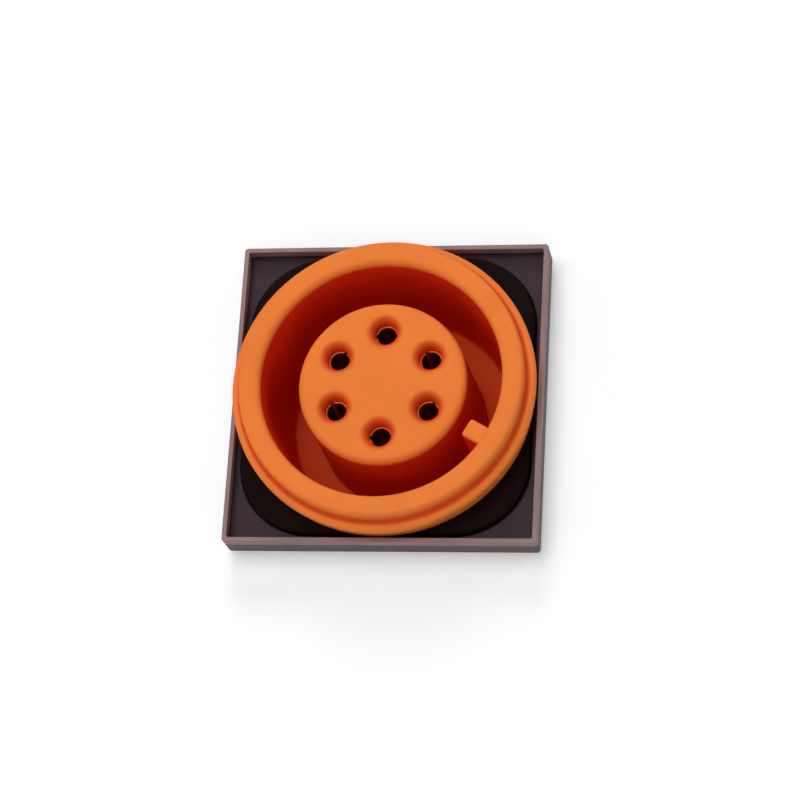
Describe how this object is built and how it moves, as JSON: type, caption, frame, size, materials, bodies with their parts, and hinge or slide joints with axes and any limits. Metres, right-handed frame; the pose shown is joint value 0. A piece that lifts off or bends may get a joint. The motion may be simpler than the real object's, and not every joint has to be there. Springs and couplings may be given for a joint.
{
  "type": "panel connector",
  "caption": "Square panel-mount power connector: keyed round shell, recessed insert with funnel-mouthed socket contacts, threaded barrel, jam nut and crimp barrels behind.",
  "frame": {"origin": "centre of the panel's front face, where the connector's axis passes through it; it is the back face of the panel gasket", "axes": "-Y along the connector's axis towards the mating side, +Y towards the wires, +Z towards the top contact, +X to the right as the plug's side is seen"},
  "size_m": [0.0312, 0.0282, 0.0284],
  "materials": {
    "shell_plastic": "matte orange moulded thermoplastic",
    "bezel_plastic": "matte charcoal moulded thermoplastic",
    "gasket_rubber": "matte black rubber",
    "seal_silicone": "matte grey silicone",
    "contact_gold": "gold plated copper alloy",
    "clip_alloy": "bare sprung copper alloy",
    "nut_nickel": "satin nickel plated brass",
    "spring_steel": "bright rolled spring steel"
  },
  "bodies": {
    "root": {"bezel_plate": "bezel_plastic", "front_gasket": "gasket_rubber", "panel_gasket": "gasket_rubber", "shell": "shell_plastic", "contact_insert": "shell_plastic", "contact_block": "shell_plastic", "insert_seal": "seal_silicone", "clip_carrier": "shell_plastic", "rear_grommet": "seal_silicone", "retaining_ring": "spring_steel", "lock_washer": "spring_steel", "jam_nut": "nut_nickel", "contact_1": "contact_gold", "contact_2": "contact_gold", "contact_3": "contact_gold", "contact_4": "contact_gold", "contact_5": "contact_gold", "contact_6": "contact_gold", "contact_clip_1": "clip_alloy", "contact_clip_2": "clip_alloy", "contact_clip_3": "clip_alloy", "contact_clip_4": "clip_alloy", "contact_clip_5": "clip_alloy", "contact_clip_6": "clip_alloy"}
  },
  "joints": []
}
